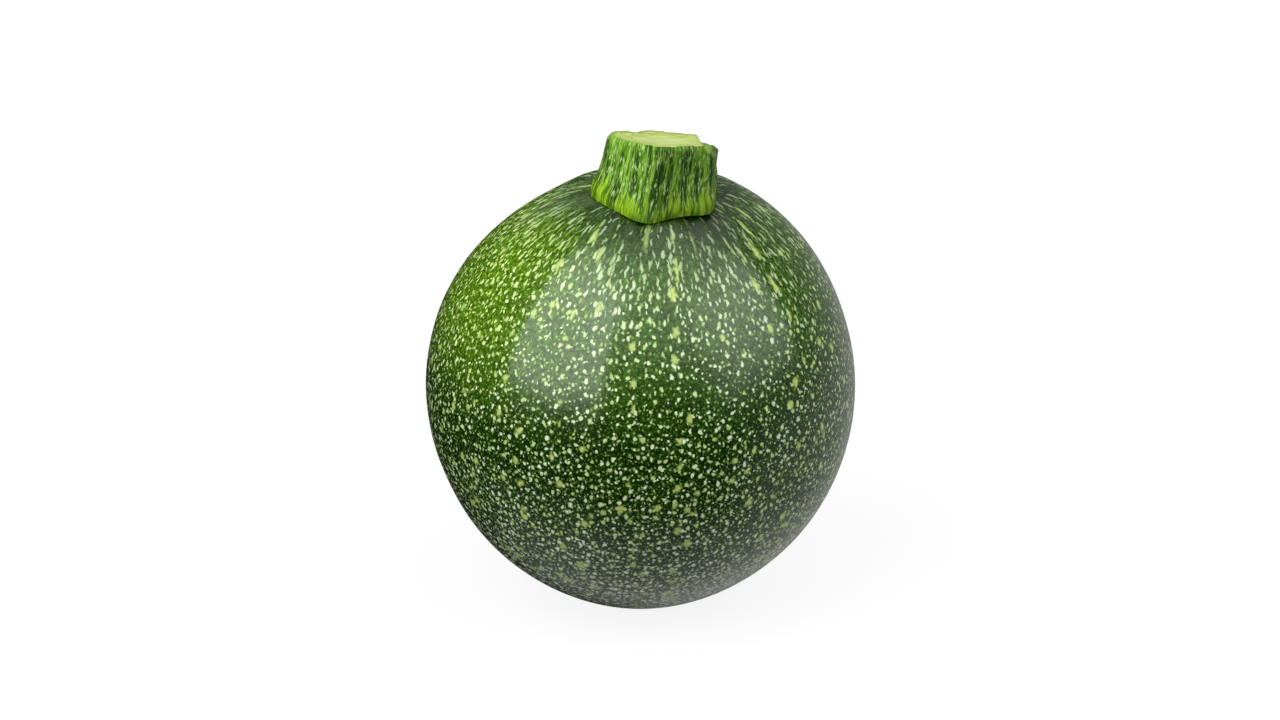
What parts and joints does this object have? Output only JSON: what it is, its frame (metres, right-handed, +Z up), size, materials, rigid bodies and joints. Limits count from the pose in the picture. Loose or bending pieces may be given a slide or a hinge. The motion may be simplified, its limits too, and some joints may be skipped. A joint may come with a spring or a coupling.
{
  "type": "round courgette",
  "caption": "Round dark green courgette with soft ribs, pale flecks and a short cut stem, standing on its blossom end.",
  "frame": {"origin": "on the surface that the fruit stands on, below the middle of the whole part's box", "axes": "+Z up along the fruit towards its stem, -Y towards the side that was pictured, +X to the right of that side"},
  "size_m": [0.0801, 0.0804, 0.0926],
  "materials": {
    "skin": "satin",
    "stem": "matte"
  },
  "bodies": {
    "root": {"fruit": "skin", "stem": "stem"}
  },
  "joints": []
}
